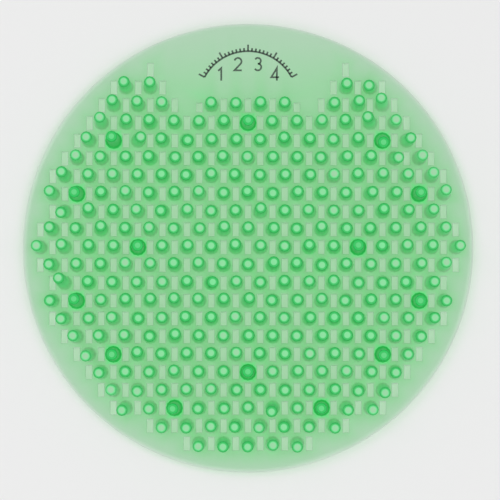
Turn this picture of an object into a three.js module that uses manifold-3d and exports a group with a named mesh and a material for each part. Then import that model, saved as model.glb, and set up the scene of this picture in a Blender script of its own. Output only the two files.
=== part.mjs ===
// A urinal deodorizer screen: one moulded disc of soft scented plastic.
// Upright pegs break the splash, slots between them drain the sheet, and short
// feet hold it off the drain. A stretch near the upper edge is left bare.
// Millimetres. The feet stand on z = 0, the pegs point up, the bare stretch is at +Y.
import * as THREE from "three";
import { ConvexGeometry } from "three/addons/geometries/ConvexGeometry.js";
import { mergeGeometries, mergeVertices } from "three/addons/utils/BufferGeometryUtils.js";
import Module from "manifold-3d";

// The sheet
const DISC_DIAMETER = 178;
const SHEET_THICKNESS = 2;
const RIM_ROUNDING = 1.8; // how far in from the edge the round of the rim starts

// The staggered grid. Along a row, slots and pegs take turns, and each row is
// shifted by one place from the next, so a slot has a peg on each of its sides.
const PITCH = 9.66; // from one peg to the next in its row
const ROW_PITCH = 7.06;

// Slots
const SLOT_WIDTH = 2.2;
const SLOT_LENGTH = 5.1;
const SLOT_MARGIN = 5.4; // sheet between the disc's edge and the outermost slot centres

// Pegs
const PEG_HEIGHT = 10;
const PEG_TIP_DIAMETER = 4.8;
const PEG_WEB = 0.63; // sheet left between a peg's root and the slots beside it
const PEG_MARGIN = 6.5; // from the disc's edge to the outermost peg centres
const SPLAY_ACROSS = 1.6; // how far a peg at the edge would lean out, along X
const SPLAY_ALONG = 3.1; // the same along Y
const SPLAY_POWER = 4; // the lean is nothing at the centre and grows fast near the edge

// Feet, each under a peg
const FOOT_HEIGHT = 3;
const FOOT_WEB = 0.38; // sheet left between a foot and the slots beside it
const FOOT_TAPER = 0.4; // how much narrower a foot is at the floor
const FOOT_PLACES = [
  { column: 0, row: 7 },
  { column: 0, row: -7 },
  { column: 9, row: 0 },
  { column: 11, row: 6 },
  { column: 14, row: 3 },
  { column: 14, row: -3 },
  { column: 11, row: -6 },
  { column: 6, row: -9 },
]; // grid places, the same on the left and on the right

// The bare stretch at the upper edge
const BARE_HALF_WIDTH = 31;
const BARE_BOTTOM = 60;
const BARE_PEG_PLACE = { column: 5, row: 8 }; // one more peg is missing at each lower corner
const SHORT_SLOT_PLACE = { column: 4, row: 8 }; // the slot beside that corner
const SHORT_SLOT_CUT = 1.7; // how much it lacks at its upper end

// Facets
const RIM_SIDES = 84;
const RIM_STEPS = 4;
const PEG_SIDES = 4;
const FOOT_SIDES = 8;

// Heights and sizes that follow
const DISC_RADIUS = DISC_DIAMETER / 2;
const SHEET_BOTTOM = FOOT_HEIGHT;
const SHEET_TOP = SHEET_BOTTOM + SHEET_THICKNESS;
const SHEET_MIDDLE = (SHEET_BOTTOM + SHEET_TOP) / 2;
const PEG_TOP = SHEET_TOP + PEG_HEIGHT;
const PEG_ROOT_DIAMETER = PITCH - SLOT_WIDTH - 2 * PEG_WEB;
const FOOT_DIAMETER = PITCH - SLOT_WIDTH - 2 * FOOT_WEB;

// manifold-3d joins and cuts the closed meshes that three.js makes
const wasm = await Module();
wasm.setup();

// A closed three.js geometry as a solid
function solid(geometry) {
  const bare = geometry.clone();
  bare.deleteAttribute("normal");
  bare.deleteAttribute("uv");
  const merged = mergeVertices(bare, 1e-4);
  return new wasm.Manifold(
    new wasm.Mesh({
      numProp: 3,
      vertProperties: new Float32Array(merged.attributes.position.array),
      triVerts: new Uint32Array(merged.index.array),
    }),
  );
}

// A solid as a three.js geometry
function geometryOf(body) {
  const mesh = body.getMesh();
  const geometry = new THREE.BufferGeometry();
  geometry.setAttribute("position", new THREE.BufferAttribute(new Float32Array(mesh.vertProperties), 3));
  geometry.setIndex(new THREE.BufferAttribute(new Uint32Array(mesh.triVerts), 1));
  geometry.computeVertexNormals();
  return geometry;
}

// The centre of a place on the grid
function gridPoint({ column, row }) {
  return new THREE.Vector2((column * PITCH) / 2, row * ROW_PITCH);
}

// Every grid place inside a circle: slots where column + row is even, pegs where it is odd
function gridPlaces(radius, parity) {
  const rows = Math.ceil(radius / ROW_PITCH);
  const columns = Math.ceil((2 * radius) / PITCH);
  const places = [];
  for (let row = -rows; row <= rows; row += 1) {
    for (let column = -columns; column <= columns; column += 1) {
      const place = { column, row };
      const sameKind = Math.abs(column + row) % 2 === parity;
      if (sameKind && gridPoint(place).length() <= radius) {
        places.push(place);
      }
    }
  }
  return places;
}

// Whether a place is the named one, or its twin on the other side of the Y axis
function isPlace(place, named) {
  return Math.abs(place.column) === named.column && place.row === named.row;
}

// Whether something this wide, centred here, reaches into the bare stretch
function isBare(place, width) {
  const point = gridPoint(place);
  return Math.abs(point.x) - width / 2 < BARE_HALF_WIDTH && point.y > BARE_BOTTOM;
}

// The corners of a regular polygon that has the area of a circle of this diameter
function roundCorners(diameter, sides, turn, x, y, z) {
  const step = (2 * Math.PI) / sides;
  const radius = (diameter / 2) * Math.sqrt(step / Math.sin(step));
  const corners = [];
  for (let side = 0; side < sides; side += 1) {
    const angle = (side + turn) * step;
    corners.push(new THREE.Vector3(x + radius * Math.cos(angle), y + radius * Math.sin(angle), z));
  }
  return corners;
}

// The square blank that the disc is cut from, a little wider than the disc
function blank() {
  const side = DISC_DIAMETER + 2 * SHEET_THICKNESS;
  return new THREE.BoxGeometry(side, side, SHEET_THICKNESS).translate(0, 0, SHEET_MIDDLE);
}

// What the cut leaves: a round body with a full round along the sheet's rim. It
// reaches past the pegs, and away from the sheet it is as wide as the disc.
function roundCut() {
  const profile = [
    new THREE.Vector2(0, SHEET_BOTTOM - SHEET_THICKNESS),
    new THREE.Vector2(DISC_RADIUS, SHEET_BOTTOM - SHEET_THICKNESS),
  ];
  for (let step = 0; step <= RIM_STEPS; step += 1) {
    const angle = Math.PI * (step / RIM_STEPS - 0.5);
    const x = DISC_RADIUS - RIM_ROUNDING * (1 - Math.cos(angle));
    const y = SHEET_MIDDLE + (SHEET_THICKNESS / 2) * Math.sin(angle);
    profile.push(new THREE.Vector2(x, y));
  }
  profile.push(new THREE.Vector2(DISC_RADIUS, PEG_TOP + SHEET_THICKNESS));
  profile.push(new THREE.Vector2(0, PEG_TOP + SHEET_THICKNESS));
  return new THREE.LatheGeometry(profile, RIM_SIDES).rotateX(Math.PI / 2);
}

// A slot's cutter, a little taller than the sheet
function slotCutter(place) {
  const point = gridPoint(place);
  const cut = isPlace(place, SHORT_SLOT_PLACE) ? SHORT_SLOT_CUT : 0;
  const cutter = new THREE.BoxGeometry(SLOT_WIDTH, SLOT_LENGTH - cut, 2 * SHEET_THICKNESS);
  return cutter.translate(point.x, point.y - cut / 2, SHEET_MIDDLE);
}

// A tapered peg. Its tip is turned by half a facet against its root, which gives
// its flank twice as many facets, and near the disc's edge it leans outward.
function peg(place) {
  const point = gridPoint(place);
  const lean = (point.length() / DISC_RADIUS) ** SPLAY_POWER;
  const tipX = point.x + (SPLAY_ACROSS * lean * point.x) / DISC_RADIUS;
  const tipY = point.y + (SPLAY_ALONG * lean * point.y) / DISC_RADIUS;
  return new ConvexGeometry([
    ...roundCorners(PEG_ROOT_DIAMETER, PEG_SIDES, 0.5, point.x, point.y, SHEET_TOP),
    ...roundCorners(PEG_TIP_DIAMETER, PEG_SIDES, 0, tipX, tipY, PEG_TOP),
  ]);
}

// A short foot, a little wider than the root of the peg that it stands under
function foot(place) {
  const point = gridPoint(place);
  return new ConvexGeometry([
    ...roundCorners(FOOT_DIAMETER, FOOT_SIDES, 0.5, point.x, point.y, SHEET_BOTTOM),
    ...roundCorners(FOOT_DIAMETER - FOOT_TAPER, FOOT_SIDES, 0.5, point.x, point.y, 0),
  ]);
}

// The feet's places with their mirror twins
function footPlaces() {
  const twins = FOOT_PLACES.filter(({ column }) => column > 0);
  return [...FOOT_PLACES, ...twins.map(({ column, row }) => ({ column: -column, row }))];
}

const slotPlaces = gridPlaces(DISC_RADIUS - SLOT_MARGIN, 0).filter((place) => !isBare(place, SLOT_WIDTH));
const pegPlaces = gridPlaces(DISC_RADIUS - PEG_MARGIN, 1).filter(
  (place) => !isBare(place, PEG_ROOT_DIAMETER) && !isPlace(place, BARE_PEG_PLACE),
);

const screen = new THREE.Mesh(
  geometryOf(
    solid(blank())
      .add(solid(mergeGeometries(pegPlaces.map(peg))))
      .subtract(solid(mergeGeometries(slotPlaces.map(slotCutter))))
      .intersect(solid(roundCut()))
      .add(solid(mergeGeometries(footPlaces().map(foot)))),
  ),
  new THREE.MeshStandardMaterial({ color: "#8fdba3", roughness: 0.4, metalness: 0 }),
);
screen.name = "screen";

const model = new THREE.Group();
model.add(screen);

export default model;
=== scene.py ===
"""Dresses the urinal deodorizer screen: one moulded disc of translucent scented plastic."""

import math

import bmesh
import bpy
import numpy as np
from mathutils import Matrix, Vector
from mathutils.geometry import delaunay_2d_cdt


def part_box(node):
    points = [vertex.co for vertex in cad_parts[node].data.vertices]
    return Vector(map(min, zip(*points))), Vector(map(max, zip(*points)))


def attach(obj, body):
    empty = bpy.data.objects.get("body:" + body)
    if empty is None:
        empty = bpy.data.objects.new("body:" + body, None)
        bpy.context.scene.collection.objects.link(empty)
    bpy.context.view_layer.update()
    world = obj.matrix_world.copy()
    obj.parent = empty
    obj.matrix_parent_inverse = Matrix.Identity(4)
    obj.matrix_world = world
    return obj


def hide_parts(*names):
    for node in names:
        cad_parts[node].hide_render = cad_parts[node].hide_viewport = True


bl_info = {
    "name": "Urinal Deodorizer Screen",
    "version": (1, 0, 0),
    "blender": (4, 5, 0),
    "location": "3D View > Sidebar > Screen",
    "description": "Moulded urinal screen with splash pegs, drain slots and feet",
    "category": "Add Mesh",
}

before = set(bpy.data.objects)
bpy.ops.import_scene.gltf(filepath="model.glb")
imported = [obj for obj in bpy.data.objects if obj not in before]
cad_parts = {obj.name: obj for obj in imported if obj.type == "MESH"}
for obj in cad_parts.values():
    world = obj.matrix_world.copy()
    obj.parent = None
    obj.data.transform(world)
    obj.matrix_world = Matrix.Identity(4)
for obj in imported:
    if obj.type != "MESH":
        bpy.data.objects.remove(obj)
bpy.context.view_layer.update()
BOX_LOW, BOX_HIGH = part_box("screen")
DISC_RADIUS = (BOX_HIGH[0] - BOX_LOW[0]) / 2
TOTAL_HEIGHT = BOX_HIGH[2] - BOX_LOW[2]

MM_IN_METRE = 1000
WELD_DISTANCE = 2e-6

# What the fill of a flat face keeps, the inside of its outlines, and its tolerance in mm
FILL_INSIDE = 1
FILL_TOLERANCE = 1e-6

# Seeds of the pegs' own leans and of their own depths
LEAN_SEED = 7
TONE_SEED = 11

# The stage. The photograph's frame is square, and the disc's middle and radius in it
# are in pixels. A softbox has a name, a place and a power in watts.
PHOTO_SIZE = 500
DISC_CENTRE_PX = (248.04, 247.53)
DISC_RADIUS_PX = 225.2
CAMERA_DISTANCE = 2.4
CAMERA_TILT = 5.0
SENSOR_WIDTH = 36.0
FLOOR_SIZE = 6.0
GLOW_SHARE = 0.10
WORLD_STRENGTH = 0.52
SOFTBOX_SIZE = 0.9
SOFTBOXES = (
    ("softbox_left", (-0.75, 0.45, 1.3), 6.8),
    ("softbox_right", (0.75, -0.1, 1.4), 5.3),
    ("softbox_near", (0.0, -0.9, 1.3), 4.2),
)

# Facets
PEG_SIDES = 12
FOOT_SIDES = 24
RIM_SIDES = 256
RIM_STEPS = 10

# Grid places, column and row, which have a twin at minus the column
GRID_REACH = 40
FOOT_PLACES = ((0, 7), (0, -7), (9, 0), (11, 6), (14, 3), (14, -3), (11, -6), (6, -9))
BARE_PEG_PLACE = (5, 8)
SHORT_SLOT_PLACE = (4, 8)

# The pegs' common lean grows as a power of the distance from the disc's middle, and a
# peg bends along its height as another power
SPLAY_POWER = 4
PEG_BEND = 1.2

# Pegs that stand out of line: column, row, and how far the tip leans along X and Y in
# millimetres, on top of the common lean
BENT_PEGS = (
    (10, 9, -1.3, -2.0),
    (11, 6, 0.0, -2.1),
    (-15, -2, -1.1, 1.3),
    (-15, 2, -0.8, -1.4),
    (2, -9, -0.3, -1.5),
    (12, 5, 1.0, -1.0),
    (10, 7, -1.0, 1.1),
    (11, 8, -1.2, 0.6),
    (13, 6, 1.2, -0.6),
    (-9, 6, 1.1, 0.5),
)

# Along a peg from the sheet to its tip: height as a share of the peg's, radius in
# millimetres, and how deep its colour is, also over a foot
# Painted light and shade on each peg: the dark ring round the tip's edge is painted shade, partly
# the thicker plastic, and the paler middle of the tip is painted light on its lit top; the same
# over a foot, in deeper colours
PEG_PROFILE = np.array(
    [
        (0.0, 3.10, 0.38, 1.7),
        (0.07, 2.54, 0.45, 0.85),
        (0.93, 2.33, 0.80, 0.80),
        (1.0, 2.06, 1.30, 2.0),
        (1.0, 1.60, 1.00, 1.9),
        (1.0, 1.06, 0.46, 0.78),
    ]
)

# Along a foot from the sheet to the floor: height as a share of the foot's, how far it
# has narrowed as a share of its taper, past 1 where its edge is rounded, and how deep
# its colour is
FOOT_PROFILE = np.array([(0.0, 0.0, 1.0), (0.85, 0.8, 1.0), (1.0, 2.0, 0.9)])

# How deep the colour is elsewhere. A corner of the flat sheet counts as beside a peg or
# a foot up to BESIDE times a peg's root from its middle. A peg's own depth varies a
# little from peg to peg, and falls by a share towards the edge, as a power of the
# distance from the middle.
RIM_DEPTH = 0.12
# Painted shade: the sheet among the pegs takes the darker web colour, not the plain sheet's
SHADED_SHEET_DEPTH = 0.31
# Painted shade: the sheet darkens further beside a peg's root
PEG_ROOT_SHADE_DEPTH = 0.40
FOOT_SIDE_DEPTH = 0.6
SOLE_DEPTH = 0.9
SLOT_DEPTHS = (0.15, 0.0, 0.0)
BESIDE = 0.6
TONE_SPREAD = 0.09
PALER_AT_EDGE = 0.28
PALER_POWER = 6

# The plastic's surface: cells of noise a metre for its clouds, its grain and its sheen,
# and how much each changes it. The clouds scale the colour's depth, and also add to it
# by CLOUD_SHIFT times their own value.
CLOUD_CELLS = 45.0
UNEVENNESS = 0.30
CLOUD_SHIFT = 0.10
GRAIN_CELLS = 2600.0
GRAIN_STRENGTH = 0.12
GRAIN_HEIGHT = 0.0002
MATT_CELLS = 240.0
MATTNESS = 0.34
MATTNESS_SPREAD = 0.16
PLASTIC_IOR = 1.45

# The ink's surface: its wear is noise times a gain, less a start, up to a most
WEAR_CELLS = 1800.0
WEAR_GAIN = 1.6
WEAR_START = 0.75
WEAR_MOST = 0.6
INK_MATTNESS = 0.55

# The floor's surface
PATCH_CELLS = 3.0
PATCH_MOST = 0.03
FLOOR_MATTNESS = 0.9

# The printed scale: an arc of four numbered stretches with seven divisions each, that
# reaches this many degrees to either side
SCALE_WEEKS = 4
SCALE_DAYS = 7
SCALE_HALF_ANGLE = 62


def length(name, default, description):
    """A length property in metres."""
    return bpy.props.FloatProperty(
        name=name, description=description, default=default, unit="LENGTH", precision=5
    )


def colour(name, default, description):
    """A linear colour property."""
    return bpy.props.FloatVectorProperty(
        name=name, description=description, default=default, size=3, subtype="COLOR", min=0, max=1
    )


def srgb(red, green, blue):
    """Linear values of a colour that is given as it shows on a screen, 0 to 255."""
    values = np.array([red, green, blue]) / 255
    linear = np.where(values <= 0.04045, values / 12.92, ((values + 0.055) / 1.055) ** 2.4)
    return tuple(float(value) for value in linear)


class ScreenSizes(bpy.types.PropertyGroup):
    """Sizes of the screen."""

    pitch: length("Pitch", 0.00966, "From one peg to the next in its row")
    row_pitch: length("Row pitch", 0.00706, "From one row of the grid to the next")
    sheet_thickness: length("Sheet thickness", 0.002, "Thickness of the disc")
    rim_rounding: length("Rim rounding", 0.0018, "How far in from the edge the round starts")
    slot_width: length("Slot width", 0.0022, "Width of a drain slot")
    slot_length: length("Slot length", 0.0051, "Length of a drain slot")
    slot_round: length("Slot round", 0.00025, "How far a slot's upper edge is broken")
    slot_margin: length("Slot margin", 0.0054, "From the edge to the outermost slot centres")
    short_slot_cut: length("Short slot cut", 0.0017, "What the two slots at the bare stretch lack")
    peg_margin: length("Peg margin", 0.0065, "From the edge to the outermost peg centres")
    peg_root: length("Peg root", 0.0062, "Diameter of a peg's round where it meets the sheet")
    foot_width: length("Foot width", 0.0067, "Diameter of a foot where it meets the sheet")
    splay_across: length("Splay across", 0.0016, "Outward lean of a peg at the edge, along X")
    splay_along: length("Splay along", 0.0031, "Outward lean of a peg at the edge, along Y")
    lean_spread: length("Lean spread", 0.00030, "Typical lean of a peg out of line")
    foot_height: length("Foot height", 0.003, "Height of a foot under the sheet")
    foot_taper: length("Foot taper", 0.0004, "How much narrower a foot is at the floor")
    bare_half_width: length("Bare half width", 0.031, "Half the width of the bare stretch")
    bare_bottom: length("Bare bottom", 0.060, "Lower edge of the bare stretch")
    scale_centre: length("Scale centre", 0.0585, "Y of the middle that the scale runs round")
    scale_radius: length("Scale radius", 0.0195, "Radius of the printed scale's line")
    number_height: length("Number height", 0.0050, "Height of a printed number")
    number_inset: length("Number inset", 0.0046, "From the scale's line in to the numbers' middles")
    long_tick: length("Long tick", 0.0026, "Length of the mark at the end of a numbered stretch")
    short_tick: length("Short tick", 0.0013, "Length of the other marks")
    ink_width: length("Ink width", 0.00070, "Width of a printed line")
    ink_height: length("Ink height", 0.00004, "How far the print stands off the sheet")


class ScreenColours(bpy.types.PropertyGroup):
    """Colours of the plastic, the print and the floor."""

    # Painted highlight: the pale edge colour stands for a light band along the rim's round
    edge: colour("Edge", srgb(214, 230, 217), "The round of the rim")
    thin: colour("Thin plastic", srgb(172, 208, 178), "The plain sheet")
    # Painted shade: the sheet among the pegs is darker and greener than the plain sheet, for the
    # shade and green light between the pegs
    web_shade: colour("Web", srgb(155, 210, 163), "The sheet between the pegs")
    flank: colour("Flank", srgb(118, 228, 149), "The sides of the pegs")
    # Painted shade: the dark ring round each peg's tip, partly the thicker plastic there
    thick_and_shaded: colour("Thick plastic", srgb(52, 190, 94), "Round the tips of the pegs")
    dense: colour("Dense plastic", srgb(28, 197, 88), "Over the feet")
    film: colour("Film", (0.74, 0.95, 0.76), "What lamp light keeps at each skin it passes")
    ink: colour("Ink", srgb(58, 78, 64), "The printed scale")
    floor: colour("Floor", srgb(234, 234, 234), "The pale floor")
    floor_patch: colour("Floor patch", srgb(225, 225, 225), "What the floor leans to in patches")


def grid_points(columns, rows):
    """Centres of grid places: half a pitch for each column, a row pitch for each row."""
    sizes = bpy.context.scene.screen_sizes
    return np.stack([columns * sizes.pitch / 2, rows * sizes.row_pitch], axis=1)


def grid_places(radius, parity, clearance):
    """Columns and rows of the grid places inside a circle and clear of the bare stretch.

    Slots have an even sum of column and row, pegs an odd one.
    """
    sizes = bpy.context.scene.screen_sizes
    reach = np.arange(-GRID_REACH, GRID_REACH + 1)
    columns, rows = (place.ravel() for place in np.meshgrid(reach, reach))
    points = grid_points(columns, rows)
    inside = np.hypot(points[:, 0], points[:, 1]) <= radius
    beside = np.abs(points[:, 0]) - clearance / 2 >= sizes.bare_half_width
    below = points[:, 1] <= sizes.bare_bottom
    kept = inside & (beside | below) & ((columns + rows) % 2 == parity)
    return columns[kept], rows[kept]


def is_place(columns, rows, place):
    """Which grid places are the given one or its mirror twin."""
    return (np.abs(columns) == place[0]) & (rows == place[1])


def circle(count):
    """Unit vectors at equal angles, count of them: the cosine and sine of each angle."""
    angles = 2 * np.pi * np.arange(count) / count
    return np.stack([np.cos(angles), np.sin(angles)], axis=1)


def bands(first, rings, sides):
    """Quads between consecutive rings of equal size: ring i, side j joins i + 1 and j + 1."""
    ring, side = np.meshgrid(np.arange(rings - 1), np.arange(sides), indexing="ij")
    beside = (side + 1) % sides
    low, high = ring * sides, (ring + 1) * sides
    quads = np.stack([low + side, low + beside, high + beside, high + side], axis=-1).reshape(-1, 4)
    return (np.asarray(first).reshape(-1, 1, 1) + quads[None]).reshape(-1, 4)


def plane_faces(rings, height, upward, hole_tests):
    """A flat face at one height, with holes.

    rings are closed outlines of points, the outer one first, each in order. The
    triangles are a constrained Delaunay fill of all outlines. A triangle whose middle
    passes one of the hole tests is dropped.
    """
    points = np.concatenate([ring.reshape(-1, 2) for ring in rings])
    edges = []
    start = 0
    for ring in rings:
        count, sides = ring.shape[0], ring.shape[1]
        first = start + np.arange(count)[:, None] * sides
        here = first + np.arange(sides)[None]
        beside = first + (np.arange(sides)[None] + 1) % sides
        edges.append(np.stack([here, beside], axis=-1).reshape(-1, 2))
        start += count * sides
    # The fill runs in millimetres, because its tolerance is a plain length
    scaled = [Vector(point) for point in (points * MM_IN_METRE).tolist()]
    lines = np.concatenate(edges).tolist()
    filled = delaunay_2d_cdt(scaled, lines, [], FILL_INSIDE, FILL_TOLERANCE)
    flat = np.array(filled[0]) / MM_IN_METRE
    triangles = np.array(filled[2])
    middles = flat[triangles].mean(axis=1)
    kept = np.ones(len(triangles), dtype=bool)
    for test in hole_tests:
        kept &= ~test(middles)
    triangles = triangles[kept]
    corners = flat[triangles]
    side = corners[:, 1] - corners[:, 0]
    other = corners[:, 2] - corners[:, 0]
    turn = side[:, 0] * other[:, 1] - side[:, 1] * other[:, 0]
    wrong = (turn > 0) != upward
    triangles[wrong] = triangles[wrong][:, ::-1]
    heights = np.full((len(flat), 1), height)
    return np.concatenate([flat, heights], axis=1), triangles


class Surface:
    """Gathers vertices, faces and a plastic depth for each face corner, and makes the mesh."""

    def __init__(self):
        self.vertices = []
        self.faces = []
        self.depths = []
        self.smooth = []
        self.count = 0

    def add(self, vertices, faces, depth, smooth=True):
        """Adds faces of one size; depth is a value for each vertex, or for each face corner."""
        vertices = np.asarray(vertices, dtype=float).reshape(-1, 3)
        depth = np.broadcast_to(depth, faces.shape) if np.ndim(depth) != 1 else depth[faces]
        self.vertices.append(vertices)
        self.faces.append(faces + self.count)
        self.depths.append(np.asarray(depth, dtype=float).ravel())
        self.smooth.append(np.full(len(faces), smooth))
        self.count += len(vertices)

    def mesh(self, name):
        """The mesh, its doubled vertices welded."""
        corner_counts = np.concatenate(
            [np.full(len(faces), faces.shape[1]) for faces in self.faces]
        )
        corners = np.concatenate([faces.ravel() for faces in self.faces])
        starts = np.concatenate([[0], np.cumsum(corner_counts)[:-1]])
        mesh = bpy.data.meshes.new(name)
        mesh.vertices.add(self.count)
        mesh.vertices.foreach_set("co", np.concatenate(self.vertices).ravel())
        mesh.loops.add(len(corners))
        mesh.loops.foreach_set("vertex_index", corners)
        mesh.polygons.add(len(corner_counts))
        mesh.polygons.foreach_set("loop_start", starts)
        mesh.polygons.foreach_set("use_smooth", np.concatenate(self.smooth))
        mesh.update(calc_edges=True)
        depth = mesh.attributes.new("depth", "FLOAT", "CORNER")
        depth.data.foreach_set("value", np.concatenate(self.depths))
        work = bmesh.new()
        work.from_mesh(mesh)
        bmesh.ops.remove_doubles(work, verts=work.verts, dist=WELD_DISTANCE)
        work.to_mesh(mesh)
        work.free()
        mesh.validate()
        return mesh


def slot_outlines(columns, rows, wider=0.0):
    """Rectangles on the grid, this much wider all round.

    The two short ones lack a stretch at their upper end.
    """
    sizes = bpy.context.scene.screen_sizes
    centres = grid_points(columns, rows)
    cut = np.where(is_place(columns, rows, SHORT_SLOT_PLACE), sizes.short_slot_cut, 0.0)
    half_length = (sizes.slot_length - cut) / 2 + wider
    corner = np.array([(1, 1), (-1, 1), (-1, -1), (1, -1)])
    reach = np.stack([np.full(len(columns), sizes.slot_width / 2 + wider), half_length], axis=1)
    middle = centres - np.stack([np.zeros(len(columns)), cut / 2], axis=1)
    return middle[:, None, :] + reach[:, None, :] * corner[None]


def in_slots(outlines):
    """A test of whether points lie in any of the rectangles."""
    low, high = outlines.min(axis=1), outlines.max(axis=1)

    def test(points):
        above = points[:, None, :] > low[None]
        below = points[:, None, :] < high[None]
        return (above & below).all(axis=2).any(axis=1)

    return test


def in_circles(centres, radius):
    """A test of whether points lie within a radius of any of the centres."""

    def test(points):
        gaps = points[:, None, :] - centres[None]
        return (np.hypot(gaps[..., 0], gaps[..., 1]) < radius).any(axis=1)

    return test


def peg_leans(columns, rows, centres):
    """Where each peg's tip stands off its root.

    The common lean is the peg's place times the splay, times the fourth power of its
    distance from the middle as a share of the disc's radius. Each peg adds a small
    seeded lean of its own, and the bent ones a larger one that is listed.
    """
    sizes = bpy.context.scene.screen_sizes
    share = (np.hypot(centres[:, 0], centres[:, 1]) / DISC_RADIUS) ** SPLAY_POWER
    splay = np.array([sizes.splay_across, sizes.splay_along])
    leans = splay * share[:, None] * centres / DISC_RADIUS
    leans += np.random.default_rng(LEAN_SEED).normal(0, sizes.lean_spread, leans.shape)
    for column, row, across, along in BENT_PEGS:
        here = (columns == column) & (rows == row)
        leans[here] += np.array([across, along]) / MM_IN_METRE
    return leans


def add_pegs(surface, columns, rows, base, height):
    """Tapered pegs, and the round holes in the sheet's top that they stand in.

    A peg is the rings of PEG_PROFILE carried up a line that starts at the peg's centre
    and stands off it by the lean times the height's share to the power PEG_BEND.
    """
    sizes = bpy.context.scene.screen_sizes
    centres = grid_points(columns, rows)
    leans = peg_leans(columns, rows, centres)
    climb, radii, depth, foot_depth = PEG_PROFILE.T
    on_foot = np.any([is_place(columns, rows, place) for place in FOOT_PLACES], axis=0)
    radii = np.tile(radii / MM_IN_METRE, (len(columns), 1))
    radii[on_foot, 0] = sizes.foot_width / 2
    shift = leans[:, None, None, :] * (climb**PEG_BEND)[None, :, None, None]
    rounds = radii[:, :, None, None] * circle(PEG_SIDES)[None, None]
    flat = centres[:, None, None, :] + shift + rounds
    heights = np.broadcast_to((base + height * climb)[None, :, None, None], (*flat.shape[:3], 1))
    vertices = np.concatenate([flat, heights], axis=3)
    rings = len(PEG_PROFILE)
    first = np.arange(len(columns)) * rings * PEG_SIDES
    share = (np.hypot(centres[:, 0], centres[:, 1]) / DISC_RADIUS) ** PALER_POWER
    spread = np.random.default_rng(TONE_SEED).normal(1, TONE_SPREAD, len(columns))
    strength = (1 - PALER_AT_EDGE * share) * spread
    # Each peg's depths carry its painted pale lit tip and the painted shade of the ring round it
    depths = np.where(on_foot[:, None], foot_depth, depth * strength[:, None])
    surface.add(vertices, bands(first, rings, PEG_SIDES), np.repeat(depths.ravel(), PEG_SIDES))
    caps = np.arange(len(columns) * PEG_SIDES).reshape(-1, PEG_SIDES)
    surface.add(vertices[:, -1], caps, np.repeat(depths[:, -1], PEG_SIDES))
    return centres, flat[:, 0]


def add_feet(surface, base):
    """Short round feet, and the round holes in the sheet's underside that they stand in.

    A foot is the rings of FOOT_PROFILE from the underside straight down to the floor.
    """
    sizes = bpy.context.scene.screen_sizes
    places = np.array(sorted(set(FOOT_PLACES) | {(-column, row) for column, row in FOOT_PLACES}))
    centres = grid_points(places[:, 0], places[:, 1])
    climb, narrow, depth = FOOT_PROFILE.T
    root = sizes.foot_width / 2
    radii = root - sizes.foot_taper / 2 * narrow
    ring = circle(FOOT_SIDES)
    flat = np.broadcast_to(centres[:, None, None, :], (len(places), len(radii), FOOT_SIDES, 2))
    flat = flat + radii[None, :, None, None] * ring[None, None]
    heights = np.broadcast_to((base * (1 - climb))[None, :, None, None], (*flat.shape[:3], 1))
    vertices = np.concatenate([flat, heights], axis=3)
    first = np.arange(len(places)) * len(radii) * FOOT_SIDES
    quads = bands(first, len(radii), FOOT_SIDES)[:, ::-1]
    surface.add(vertices, quads, np.repeat(np.tile(depth, len(places)), FOOT_SIDES))
    soles = vertices[:, -1].reshape(-1, 3)
    caps = np.arange(len(places) * FOOT_SIDES).reshape(-1, FOOT_SIDES)[:, ::-1]
    surface.add(soles, caps, np.full(len(soles), SOLE_DEPTH))
    return centres, centres[:, None, :] + root * ring[None]


def add_slot_walls(surface, mouths, outlines, bottom, top):
    """The slots' walls: from the mouth down its broken edge, then straight to the underside."""
    sizes = bpy.context.scene.screen_sizes
    flat = np.stack([mouths, outlines, outlines], axis=1)
    count, rings, sides = flat.shape[:3]
    levels = np.array([top, top - sizes.slot_round, bottom])
    heights = np.broadcast_to(levels[None, :, None, None], (count, rings, sides, 1))
    depth = np.tile(np.repeat(SLOT_DEPTHS, sides), count)
    quads = bands(np.arange(count) * rings * sides, rings, sides)
    surface.add(np.concatenate([flat, heights], axis=3), quads, depth, smooth=False)


def add_rim(surface, bottom, top):
    """The round of the rim, and the outline of the sheet's flat faces.

    It is half an ellipse turned about the disc's axis: at each angle from straight down
    to straight up, the radius falls by the rounding times one minus the cosine, and the
    height is the sheet's middle plus half its thickness times the sine.
    """
    sizes = bpy.context.scene.screen_sizes
    angles = np.linspace(-np.pi / 2, np.pi / 2, RIM_STEPS + 1)
    radii = DISC_RADIUS - sizes.rim_rounding * (1 - np.cos(angles))
    heights = (bottom + top) / 2 + (top - bottom) / 2 * np.sin(angles)
    flat = radii[:, None, None] * circle(RIM_SIDES)[None]
    heights = np.broadcast_to(heights[:, None, None], (*flat.shape[:2], 1))
    vertices = np.concatenate([flat, heights], axis=2)
    # The round's middle takes the pale edge colour, a painted highlight band
    depth = np.repeat(RIM_DEPTH * np.sin(angles) ** 2, RIM_SIDES)
    surface.add(vertices, bands([0], RIM_STEPS + 1, RIM_SIDES), depth)
    return radii[0] * circle(RIM_SIDES)[None]


def arc(middle, radius, start, end, count=9):
    """Points on a circle between two angles in degrees, clockwise where the end is smaller."""
    angles = np.radians(np.linspace(start, end, count))
    return np.array(middle) + radius * np.stack([np.cos(angles), np.sin(angles)], axis=1)


def scale_directions(shares):
    """Directions from the scale's middle to places along it, shares of it from the left."""
    angles = np.pi / 2 + math.radians(SCALE_HALF_ANGLE) * (1 - 2 * shares)
    return np.stack([np.cos(angles), np.sin(angles)], axis=1)


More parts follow.
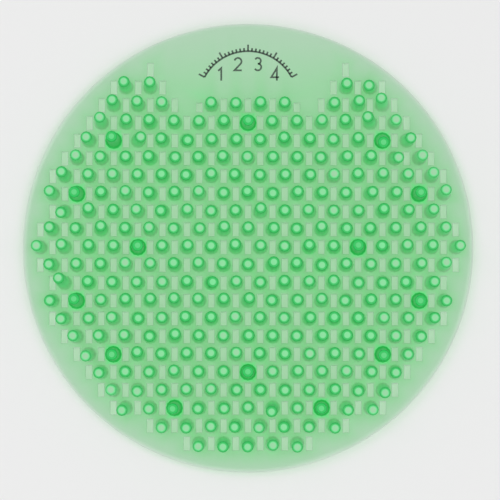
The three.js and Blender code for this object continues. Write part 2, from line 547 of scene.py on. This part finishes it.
# Strokes of the plain numbers 1 to 4, one unit high, round an upright middle line
NUMBER_STROKES = (
    (np.array([(-0.20, 0.78), (0.04, 1.0), (0.04, 0.0)]),),
    (np.concatenate([arc((0.0, 0.71), 0.28, 165, -38, 13), [(-0.28, 0.0), (0.30, 0.0)]]),),
    (arc((-0.02, 0.755), 0.24, 150, -90, 13), arc((-0.02, 0.265), 0.27, 90, -150, 13)),
    (np.array([(0.30, 0.27), (-0.32, 0.27), (0.12, 1.0), (0.12, 0.0)]),),
)


def ribbon(surface, line, width, base, height):
    """A printed line: a flat band of one width along a line of points, with low sides.

    At each point the band's edges lie on the mitre, which is the sum of the normals of the
    two stretches that meet there, scaled so that both stretches keep the width.
    """
    along = np.diff(line, axis=0)
    along /= np.linalg.norm(along, axis=1, keepdims=True)
    normals = np.stack([-along[:, 1], along[:, 0]], axis=1)
    before = np.concatenate([normals[:1], normals])
    after = np.concatenate([normals, normals[-1:]])
    mitre = (before + after) / (1 + (before * after).sum(axis=1, keepdims=True))
    edges = [line + mitre * width / 2, line - mitre * width / 2]
    flat = np.stack([edges[0], edges[0], edges[1], edges[1]], axis=1)
    levels = base + np.array([0, height, height, 0])
    heights = np.broadcast_to(levels[None, :, None], (len(line), 4, 1))
    ends = np.array([[3, 2, 1, 0], [0, 1, 2, 3]]) + [[0], [4 * len(line) - 4]]
    quads = np.concatenate([bands([0], len(line), 4), ends])
    surface.add(np.concatenate([flat, heights], axis=2), quads, 0.0, smooth=False)


class Value:
    """A number or colour socket. Arithmetic on it adds Math nodes to its tree."""

    def __init__(self, tree, socket):
        self.tree = tree
        self.socket = socket

    def math(self, operation, *others, clamp=False):
        """A Math node on this value and up to two others."""
        node = self.tree.nodes.new("ShaderNodeMath")
        node.operation = operation
        node.use_clamp = clamp
        for index, entry in enumerate((self, *others)):
            if isinstance(entry, Value):
                self.tree.links.new(entry.socket, node.inputs[index])
            else:
                node.inputs[index].default_value = entry
        return Value(self.tree, node.outputs[0])

    def reflected(self, operation, other):
        """The operation with a plain number on its left."""
        node = self.tree.nodes.new("ShaderNodeMath")
        node.operation = operation
        node.inputs[0].default_value = other
        self.tree.links.new(self.socket, node.inputs[1])
        return Value(self.tree, node.outputs[0])

    def __add__(self, other):
        return self.math("ADD", other)

    __radd__ = __add__

    def __mul__(self, other):
        return self.math("MULTIPLY", other)

    __rmul__ = __mul__

    def __sub__(self, other):
        return self.math("SUBTRACT", other)

    def __rsub__(self, other):
        return self.reflected("SUBTRACT", other)

    def clamped(self):
        """The value held between 0 and 1."""
        return self.math("ADD", 0.0, clamp=True)


class Finish:
    """A material under construction: its tree, and the one way to add any node but Math."""

    def __init__(self, name):
        self.material = bpy.data.materials.new(name)
        self.material.use_nodes = True
        self.tree = self.material.node_tree
        self.tree.nodes.clear()

    def node(self, kind, settings=None, **inputs):
        """Adds a node: its settings first, then values or links, by input name.

        An input's name is written with _ for a space.
        """
        node = self.tree.nodes.new("ShaderNode" + kind)
        for key, value in (settings or {}).items():
            setattr(node, key, value)
        for key, value in inputs.items():
            socket = node.inputs[key.replace("_", " ")]
            if isinstance(value, Value):
                self.tree.links.new(value.socket, socket)
            else:
                socket.default_value = value
        return node

    def output(self, node, name):
        """A node's output as a value."""
        return Value(self.tree, node.outputs[name])

    def place(self):
        """Object coordinates."""
        return self.output(self.node("TexCoord"), "Object")

    def ramp(self, factor, stops):
        """A colour ramp through stops of a place from 0 to 1 and a colour."""
        node = self.node("ValToRGB", None, Fac=factor)
        elements = node.color_ramp.elements
        for place, tone in stops[2:]:
            elements.new(place)
        for element, (place, tone) in zip(elements, stops):
            element.position = place
            element.color = (*tone, 1.0)
        return self.output(node, "Color")

    def noise(self, scale, detail=2.0, roughness=0.5):
        """Noise from 0 to 1 on object coordinates; scale is in cells a metre."""
        inputs = {"Scale": scale, "Detail": detail, "Roughness": roughness}
        return self.output(self.node("TexNoise", None, Vector=self.place(), **inputs), "Fac")

    def attribute(self, name):
        """A number stored on the mesh."""
        return self.output(self.node("Attribute", {"attribute_name": name}), "Fac")

    def mix(self, factor, first, second):
        """Two colours mixed by a factor.

        The node has sockets of each data type under one name, so the colour ones are
        taken by their number.
        """
        node = self.node("Mix", {"data_type": "RGBA"})
        sockets = (node.inputs[0], node.inputs[6], node.inputs[7])
        for socket, value in zip(sockets, (factor, first, second)):
            if isinstance(value, Value):
                self.tree.links.new(value.socket, socket)
            elif np.ndim(value):
                socket.default_value = (*value, 1.0)
            else:
                socket.default_value = value
        return Value(self.tree, node.outputs[2])

    def bump(self, height, strength, distance):
        """A normal from a height."""
        node = self.node("Bump", None, Height=height, Strength=strength, Distance=distance)
        return self.output(node, "Normal")

    def blend(self, factor, first, second):
        """Two shaders mixed by a factor."""
        node = self.node("MixShader", None, Fac=factor)
        self.tree.links.new(first.socket, node.inputs[1])
        self.tree.links.new(second.socket, node.inputs[2])
        return self.output(node, "Shader")

    def principled(self, **inputs):
        """The Principled BSDF with these inputs."""
        return self.output(self.node("BsdfPrincipled", None, **inputs), "BSDF")

    def finish(self, surface):
        """The material, with this shader as its surface."""
        self.node("OutputMaterial", None, Surface=surface)
        return self.material


def plastic():
    """Soft translucent plastic.

    Its colour follows the depth that is stored on the mesh, from the pale rim to the dark
    rings round the pegs' tips, and past 1 towards the colour over a foot. That depth holds
    painted light as well as the plastic's own colour: a painted highlight on the rim's round,
    painted shade on the sheet among the pegs and beside their roots, painted light on the
    pegs' pale tips and painted shade in the dark rings round them, which are partly the
    thicker plastic too. It is a little uneven, and finely grained like the mould that it
    came from. Lamp light passes it and keeps the film's tint, which stands for the light
    that comes through the sheet.
    """
    colours = bpy.context.scene.screen_colours
    made = Finish("scented_plastic")
    depth = made.attribute("depth")
    uneven = (made.noise(CLOUD_CELLS, detail=3.0) - 0.5) * UNEVENNESS
    shade = (depth * (1 + uneven) + uneven * CLOUD_SHIFT).clamped()
    # The edge stop is a painted highlight, the web stop painted shade among the pegs, and the thick
    # stop the painted shade round the pegs' tips, partly thicker plastic
    stops = (
        (0.0, colours.edge),
        (0.12, colours.thin),
        (0.36, colours.web_shade),
        (0.6, colours.flank),
        (1.0, colours.thick_and_shaded),
    )
    tone = made.ramp(shade, [(place, tuple(value)) for place, value in stops])
    tone = made.mix((depth - 1).clamped(), tone, tuple(colours.dense))
    grain = made.noise(GRAIN_CELLS, roughness=0.6)
    body = made.principled(
        Base_Color=tone,
        Roughness=MATTNESS + (made.noise(MATT_CELLS) - 0.5) * MATTNESS_SPREAD,
        Normal=made.bump(grain, GRAIN_STRENGTH, GRAIN_HEIGHT),
        IOR=PLASTIC_IOR,
    )
    lamp_ray = made.output(made.node("LightPath"), "Is Shadow Ray")
    film = made.node("BsdfTransparent", None, Color=(*colours.film, 1.0))
    return made.finish(made.blend(lamp_ray, body, made.output(film, "BSDF")))


def print_ink():
    """Flat dark printing ink, worn towards the plastic's colour where a noise is high."""
    colours = bpy.context.scene.screen_colours
    made = Finish("print_ink")
    noise = made.noise(WEAR_CELLS, detail=3.0)
    wear = (noise * WEAR_GAIN - WEAR_START).clamped() * WEAR_MOST
    tone = made.mix(wear, tuple(colours.ink), tuple(colours.thin))
    return made.finish(made.principled(Base_Color=tone, Roughness=INK_MATTNESS))


def floor_paint():
    """Matt pale floor, very faintly uneven.

    The camera sees a share of it by its own pale light, which keeps its shadows soft.
    """
    colours = bpy.context.scene.screen_colours
    made = Finish("floor_paint")
    patches = made.noise(PATCH_CELLS) * PATCH_MOST
    tone = made.mix(patches, tuple(colours.floor), tuple(colours.floor_patch))
    paint = made.principled(Base_Color=tone, Roughness=FLOOR_MATTNESS)
    glow = made.node("Emission", None, Color=(*colours.floor, 1.0), Strength=1.0)
    rays = made.node("LightPath")
    seen = made.output(rays, "Is Camera Ray") + made.output(rays, "Is Glossy Ray")
    share = (seen * GLOW_SHARE).clamped()
    return made.finish(made.blend(share, paint, made.output(glow, "Emission")))


def add_piece(context, name, mesh, material):
    """Links a finished piece at the origin, with its material."""
    piece = bpy.data.objects.new(name, mesh)
    context.collection.objects.link(piece)
    mesh.materials.append(material)
    return piece


class SCREEN_OT_disc(bpy.types.Operator):
    """Makes the screen: sheet, drain slots, pegs and feet, in one skin"""

    bl_idname = "screen.make_disc"
    bl_label = "Disc"

    def execute(self, context):
        sizes = context.scene.screen_sizes
        bottom, top = sizes.foot_height, sizes.foot_height + sizes.sheet_thickness
        surface = Surface()
        slots = grid_places(DISC_RADIUS - sizes.slot_margin, 0, sizes.slot_width)
        columns, rows = grid_places(DISC_RADIUS - sizes.peg_margin, 1, sizes.peg_root)
        kept = ~is_place(columns, rows, BARE_PEG_PLACE)
        outlines = slot_outlines(*slots)
        mouths = slot_outlines(*slots, wider=sizes.slot_round)
        pegs, roots = add_pegs(surface, columns[kept], rows[kept], top, TOTAL_HEIGHT - top)
        feet, foot_roots = add_feet(surface, bottom)
        edge = add_rim(surface, bottom, top).reshape(1, -1, 2)
        for rings, centres, root, height, upward in (
            ((edge, mouths, roots), pegs, sizes.peg_root / 2, top, True),
            ((edge, outlines, foot_roots), feet, sizes.foot_width / 2, bottom, False),
        ):
            holes = (in_slots(rings[1]), in_circles(centres, root))
            vertices, faces = plane_faces(rings, height, upward, holes)
            peg_shade_mask = in_circles(pegs, sizes.peg_root * BESIDE)(vertices[:, :2])
            by_foot = in_circles(feet, sizes.peg_root * BESIDE)(vertices[:, :2])
            by_rim = np.hypot(*vertices[:, :2].T) > DISC_RADIUS - 2 * sizes.rim_rounding
            # Painted shade darkens the sheet among the pegs and beside their roots; beside a foot
            # the colour is the deeper plastic over it
            depth = np.select(
                [by_foot, peg_shade_mask, by_rim],
                [FOOT_SIDE_DEPTH, PEG_ROOT_SHADE_DEPTH, RIM_DEPTH],
                SHADED_SHEET_DEPTH,
            )
            surface.add(vertices, faces, depth, smooth=False)
        add_slot_walls(surface, mouths, outlines, bottom, top)

        disc = add_piece(context, "screen_skin", surface.mesh("screen_skin"), plastic())
        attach(disc, "root")
        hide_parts("screen")
        return {"FINISHED"}


class SCREEN_OT_scale(bpy.types.Operator):
    """Prints a plain scale of four numbered weeks on the bare stretch"""

    bl_idname = "screen.make_scale"
    bl_label = "Printed scale"

    def execute(self, context):
        sizes = context.scene.screen_sizes
        middle = np.array([0.0, sizes.scale_centre])
        base = sizes.foot_height + sizes.sheet_thickness
        days = np.arange(SCALE_WEEKS * SCALE_DAYS + 1)
        marks = scale_directions(days / days[-1])
        weeks = scale_directions((np.arange(SCALE_WEEKS) + 0.5) / SCALE_WEEKS)
        line = arc((0, 0), 1, 90 + SCALE_HALF_ANGLE, 90 - SCALE_HALF_ANGLE, 41)
        strokes = [middle + sizes.scale_radius * line]
        for day, outward in zip(days, marks):
            tick = sizes.short_tick if day % SCALE_DAYS else sizes.long_tick
            reach = np.array([[sizes.scale_radius], [sizes.scale_radius + tick]])
            strokes.append(middle + outward * reach)
        drop = np.array([0, sizes.number_height / 2])
        for number, outward in zip(NUMBER_STROKES, weeks):
            foot = middle + outward * (sizes.scale_radius - sizes.number_inset) - drop
            strokes += [foot + stroke * sizes.number_height for stroke in number]
        surface = Surface()
        for stroke in strokes:
            ribbon(surface, stroke, sizes.ink_width, base, sizes.ink_height)

        scale = add_piece(context, "printed_scale", surface.mesh("printed_scale"), print_ink())
        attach(scale, "root")
        return {"FINISHED"}


class SCREEN_OT_stage(bpy.types.Operator):
    """Makes the floor, the lamps, the world and the camera"""

    bl_idname = "screen.make_stage"
    bl_label = "Stage"

    def execute(self, context):
        scene = context.scene
        sizes = scene.screen_sizes
        bpy.ops.mesh.primitive_plane_add(size=FLOOR_SIZE, location=(0, 0, 0))
        floor = context.object
        floor.name = "floor"
        floor.data.materials.append(floor_paint())

        world = bpy.data.worlds.new("studio")
        world.use_nodes = True
        background = world.node_tree.nodes["Background"]
        background.inputs["Color"].default_value = (1, 1, 1, 1)
        background.inputs["Strength"].default_value = WORLD_STRENGTH
        scene.world = world

        for name, place, energy in SOFTBOXES:
            lamp = bpy.data.lights.new(name, "AREA")
            lamp.size = SOFTBOX_SIZE
            lamp.energy = energy
            softbox = bpy.data.objects.new(name, lamp)
            softbox.location = place
            softbox.rotation_euler = (-Vector(place)).to_track_quat("-Z", "Y").to_euler()
            context.collection.objects.link(softbox)

        tilt = math.radians(CAMERA_TILT)
        metre_per_pixel = DISC_RADIUS / DISC_RADIUS_PX
        middle = PHOTO_SIZE / 2
        target = Vector(
            (
                (middle - DISC_CENTRE_PX[0]) * metre_per_pixel,
                (DISC_CENTRE_PX[1] - middle) * metre_per_pixel,
                sizes.foot_height + sizes.sheet_thickness / 2,
            )
        )
        camera = bpy.data.cameras.new("camera")
        camera.sensor_width = SENSOR_WIDTH
        camera.lens = SENSOR_WIDTH * CAMERA_DISTANCE / (PHOTO_SIZE * metre_per_pixel)
        view = bpy.data.objects.new("camera", camera)
        view.location = target + CAMERA_DISTANCE * Vector((0, -math.sin(tilt), math.cos(tilt)))
        view.rotation_euler = (tilt, 0, 0)
        context.collection.objects.link(view)
        scene.camera = view
        scene.view_settings.view_transform = "Standard"
        return {"FINISHED"}


class SCREEN_PT_pieces(bpy.types.Panel):
    """The screen's sizes, colours and pieces"""

    bl_idname = "SCREEN_PT_pieces"
    bl_label = "Screen"
    bl_space_type = "VIEW_3D"
    bl_region_type = "UI"
    bl_category = "Screen"

    def draw(self, context):
        for group in (context.scene.screen_sizes, context.scene.screen_colours):
            column = self.layout.column(align=True)
            for key in type(group).__annotations__:
                column.prop(group, key)
        for operator in (SCREEN_OT_disc, SCREEN_OT_scale, SCREEN_OT_stage):
            self.layout.operator(operator.bl_idname)


CLASSES = (
    ScreenSizes,
    ScreenColours,
    SCREEN_OT_disc,
    SCREEN_OT_scale,
    SCREEN_OT_stage,
    SCREEN_PT_pieces,
)


def register():
    """Registers the classes and the scene's sizes and colours."""
    for entry in CLASSES:
        bpy.utils.register_class(entry)
    bpy.types.Scene.screen_sizes = bpy.props.PointerProperty(type=ScreenSizes)
    bpy.types.Scene.screen_colours = bpy.props.PointerProperty(type=ScreenColours)


def unregister():
    """Takes them out again."""
    del bpy.types.Scene.screen_colours
    del bpy.types.Scene.screen_sizes
    for entry in reversed(CLASSES):
        bpy.utils.unregister_class(entry)


def main():
    """Makes the whole scene."""
    register()
    bpy.ops.screen.make_disc()
    bpy.ops.screen.make_scale()
    bpy.ops.screen.make_stage()


if __name__ == "__main__":
    main()
